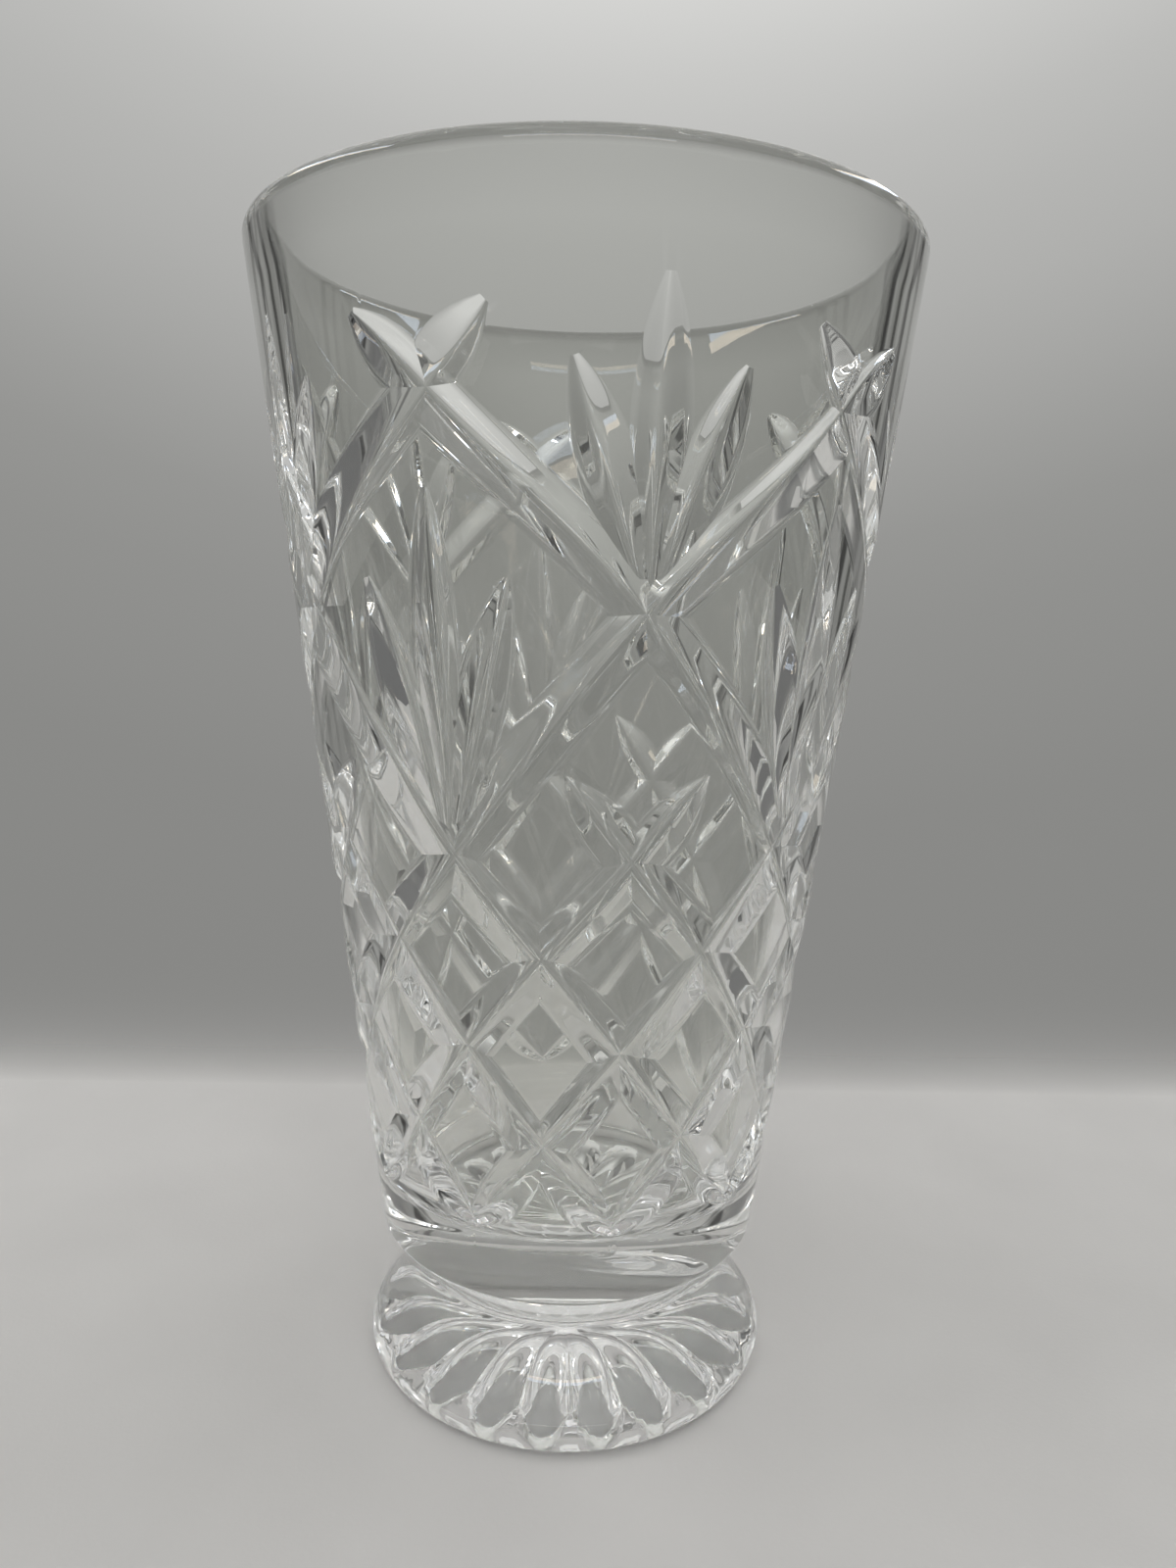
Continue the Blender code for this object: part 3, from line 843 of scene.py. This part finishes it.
# %% Tones of the wall, the room and the cards
# Height in the room runs from RISE_LOW to RISE_HIGH, where 0 is level with the table and 1 is overhead,
# and each ramp goes from the lowest (0) to the highest (1).
RISE_LOW, RISE_HIGH = -0.5, 1.0
BACK_STOPS = (
    (0.0, "#868684"),
    (0.2, "#8A8A88"),
    (0.26, "#8E8E8C"),
    (0.31, "#91918F"),
    (0.36, "#969694"),
    (0.4, "#9E9E9C"),
    (0.44, "#A7A7A5"),
    (0.48, "#AFAFAD"),
    (0.52, "#B5B5B3"),
    (0.56, "#BDBDBB"),
    (0.6, "#C9C9C7"),
    (0.64, "#D7D7D5"),
    (1.0, "#D8D8D6"),
)
FRONT_STOPS = (
    (0.0, "#646464"),
    (0.33, "#646464"),
    (0.45, "#6C6C6C"),
    (0.6, "#C0C0C0"),
    (1.0, "#D8D8D6"),
)
# The cards by their bearing, from straight behind the vase (0) to straight in front of it (1).
CARD_STOPS = (
    (0.0, "#FFFFFF"),
    (0.2, "#FFFFFF"),
    (0.206, "#787878"),
    (0.222, "#787878"),
    (0.228, "#FFFFFF"),
    (0.25, "#FFFFFF"),
    (0.254, "#989898"),
    (0.264, "#989898"),
    (0.268, "#FFFFFF"),
    (0.288, "#FFFFFF"),
    (0.295, "#404040"),
    (0.326, "#404040"),
    (0.333, "#FFFFFF"),
    (1.0, "#FFFFFF"),
)
# The cards reach from CARD_FOOT to CARD_TOP and fade over CARD_FADE, in the same measure of height.
CARD_TOP, CARD_FOOT, CARD_FADE = 0.55, -0.1, 0.15
# The wall behind the vase begins where a direction points back by SIDE_DARK and is full at SIDE_LIGHT.
SIDE_DARK, SIDE_LIGHT = 0.3, 0.6
# The pool of light on the wall: how far to the side its middle lies, and how fast it sinks beside it.
SPOT_SIDE, SPOT_BEND = 0.04, 0.45

# %% Directions in the room
world = bpy.data.worlds.new("studio")
bpy.context.scene.world = world
world.use_nodes = True
tree = world.node_tree
tree.nodes.clear()
direction = add_node(tree, "ShaderNodeTexCoord")
turned = add_node(
    tree,
    "ShaderNodeVectorRotate",
    {"rotation_type": "Z_AXIS"},
    Vector=direction.outputs["Generated"],
    Angle=-np.radians(STAGE_TURN),
)
split = add_node(tree, "ShaderNodeSeparateXYZ", Vector=turned.outputs[0])
print("the room is turned by", STAGE_TURN, "degrees, like the table")

# %% The wall and the rest of the room
# The pool of light on the wall is brightest straight behind the vase and sinks towards both sides.
offside = add_node(
    tree, "ShaderNodeMath", {"operation": "SUBTRACT"}, i0=split.outputs["X"], i1=SPOT_SIDE
)
squared = add_node(
    tree, "ShaderNodeMath", {"operation": "MULTIPLY"}, i0=offside.outputs[0], i1=offside.outputs[0]
)
lowered = add_node(
    tree,
    "ShaderNodeMath",
    {"operation": "MULTIPLY_ADD"},
    i0=squared.outputs[0],
    i1=-SPOT_BEND,
    i2=split.outputs["Z"],
)
rise = add_node(
    tree, "ShaderNodeMapRange", Value=lowered.outputs[0], From_Min=RISE_LOW, From_Max=RISE_HIGH
)
behind = add_node(
    tree,
    "ShaderNodeMapRange",
    {"interpolation_type": "SMOOTHSTEP"},
    Value=split.outputs["Y"],
    From_Min=SIDE_DARK,
    From_Max=SIDE_LIGHT,
)
wall_light = add_ramp(tree, rise.outputs[0], BACK_STOPS)
room_light = add_ramp(tree, rise.outputs[0], FRONT_STOPS)
mixed = add_node(
    tree, "ShaderNodeMix", {"data_type": "RGBA"}, i0=behind.outputs[0], i6=room_light, i7=wall_light
)
print("tones of the wall:", len(BACK_STOPS), " of the rest of the room:", len(FRONT_STOPS))

# %% The cards
# The cards stand at the same bearings on either side. They end a little below the table's level, so
# from above they don't show beyond the table.
bearing = add_node(
    tree, "ShaderNodeMath", {"operation": "ARCTAN2"}, i0=split.outputs["X"], i1=split.outputs["Y"]
)
either_side = add_node(tree, "ShaderNodeMath", {"operation": "ABSOLUTE"}, i0=bearing.outputs[0])
half_turns = add_node(
    tree, "ShaderNodeMath", {"operation": "DIVIDE"}, i0=either_side.outputs[0], i1=np.pi
)
cards = add_ramp(tree, half_turns.outputs[0], CARD_STOPS)
card_height = add_node(
    tree,
    "ShaderNodeMapRange",
    {"interpolation_type": "SMOOTHSTEP"},
    Value=split.outputs["Z"],
    From_Min=CARD_TOP + CARD_FADE,
    From_Max=CARD_TOP,
)
card_shape = add_node(
    tree,
    "ShaderNodeMapRange",
    Value=split.outputs["Z"],
    From_Min=CARD_FOOT - CARD_FADE,
    From_Max=CARD_FOOT,
    To_Max=card_height.outputs[0],
)
carded = add_node(
    tree,
    "ShaderNodeMix",
    {"data_type": "RGBA", "blend_type": "MULTIPLY"},
    i0=card_shape.outputs[0],
    i6=mixed.outputs[2],
    i7=cards,
)
sky = add_node(tree, "ShaderNodeBackground", Color=carded.outputs[2], Strength=1.0)
add_node(tree, "ShaderNodeOutputWorld", Surface=sky.outputs[0])
print("room light:", len(tree.nodes), "nodes")

# %% [markdown]
# ## Lamps
#
# Two long lamps high at the sides put the bright glints on the rim and in the cuts, and a thinner one
# in front draws a fine arc on the foot. Each is a pair of strips side by side, one a little warm and one
# a little cool, as a bulb beside a window would be. Where a cut spreads them apart, a glint shows a
# trace of colour at its edges, much as crystal does when it splits light. A large softbox fills the
# front. Last, a narrow beam falls straight down through the mouth. It is smaller than the inner floor,
# so it passes through the base and the foot and lights the table below them, which both of them show.

# %% Lamps
WARM, COOL, PLAIN = "#FFEED8", "#DCEAFF", "#FFFFFF"
# For each lamp: its name, place, size, radiance and colour. All of them face a point LAMP_AIM high.
LAMPS = (
    ("left_warm_strip", (-400.0, 80.0, 482.0), (400.0, 30.0), 6.5, WARM),
    ("left_cool_strip", (-400.0, 80.0, 518.0), (400.0, 30.0), 6.5, COOL),
    ("right_warm_strip", (400.0, 80.0, 518.0), (400.0, 30.0), 6.5, WARM),
    ("right_cool_strip", (400.0, 80.0, 482.0), (400.0, 30.0), 6.5, COOL),
    ("front_warm_strip", (-92.0, -470.0, 382.0), (430.0, 15.0), 3.5, WARM),
    ("front_cool_strip", (-92.0, -470.0, 400.0), (430.0, 15.0), 3.5, COOL),
    ("softbox", (0.0, -420.0, 800.0), (600.0, 500.0), 0.4, PLAIN),
)
LAMP_AIM = 100.0


def add_lamp(name, place, size, radiance, colour):
    """A rectangular lamp that faces the middle of the vase. Its power is radiance * area * pi."""
    data = bpy.data.lights.new(name, "AREA")
    data.shape = "RECTANGLE"
    data.size = size[0] * MM
    data.size_y = size[1] * MM
    data.energy = radiance * np.pi * data.size * data.size_y
    data.color = linear(colour)[:3]
    lamp = bpy.data.objects.new(name, data)
    lamp.location = np.array(place) * MM
    aim = Vector((0.0, 0.0, LAMP_AIM * MM)) - lamp.location
    lamp.rotation_euler = aim.to_track_quat("-Z", "Y").to_euler()
    bpy.context.scene.collection.objects.link(lamp)
    return lamp


for name, place, size, radiance, colour in LAMPS:
    add_lamp(name, place, size, radiance, colour)

# The beam opens by BEAM_SPREAD degrees. A wider one would draw bright rings on the table.
BEAM = ("beam_from_above", (0.0, 0.0, 600.0), (60.0, 60.0), 16.0, PLAIN)
BEAM_SPREAD = 4.0
beam = add_lamp(*BEAM)
beam.data.spread = np.radians(BEAM_SPREAD)
print("lamps:", len(LAMPS) + 1)

# %% [markdown]
# Light may cross a dozen surfaces of cut glass before it leaves, and each crossing counts as a bounce. A
# renderer that stops early shows black specks instead.

# %% Bounces and tone
BOUNCES = 48
CLEAR_BOUNCES = 32
cycles = bpy.context.scene.cycles
cycles.max_bounces = BOUNCES
cycles.transmission_bounces = BOUNCES
cycles.glossy_bounces = BOUNCES
cycles.transparent_max_bounces = CLEAR_BOUNCES
bpy.context.scene.view_settings.view_transform = "Standard"
print("light may bounce", cycles.max_bounces, "times")
